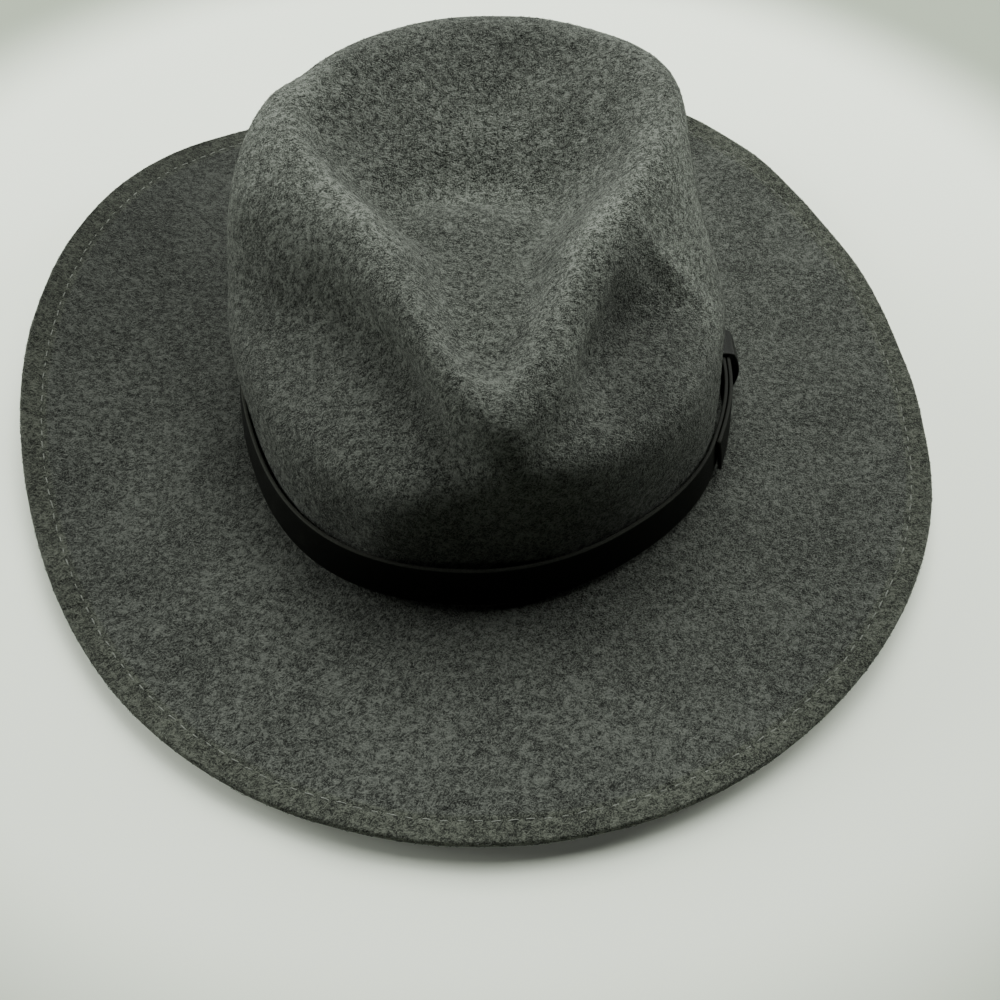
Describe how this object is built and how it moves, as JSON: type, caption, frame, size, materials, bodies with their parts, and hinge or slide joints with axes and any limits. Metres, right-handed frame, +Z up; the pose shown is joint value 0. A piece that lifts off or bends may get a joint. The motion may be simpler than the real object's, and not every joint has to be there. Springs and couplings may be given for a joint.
{
  "type": "rancher hat",
  "caption": "Wide-brimmed grey wool felt hat with a pinched teardrop crown, stitched hem, and a black leather strap with a keeper loop.",
  "frame": {"origin": "middle of the brim's box, on the surface that the brim rests on", "axes": "+Z up through the crown, -Y towards the front of the hat, +X towards the wearer's left"},
  "size_m": [0.3358, 0.3694, 0.103],
  "materials": {
    "heather_felt": "matt dark grey heather felt with pale fibres",
    "strap_leather": "black leather, satin, with a pale cut edge",
    "keeper_leather": "black leather, satin"
  },
  "bodies": {
    "root": {"felt_body": "heather_felt", "hatband": "strap_leather", "band_keeper": "keeper_leather"}
  },
  "joints": []
}
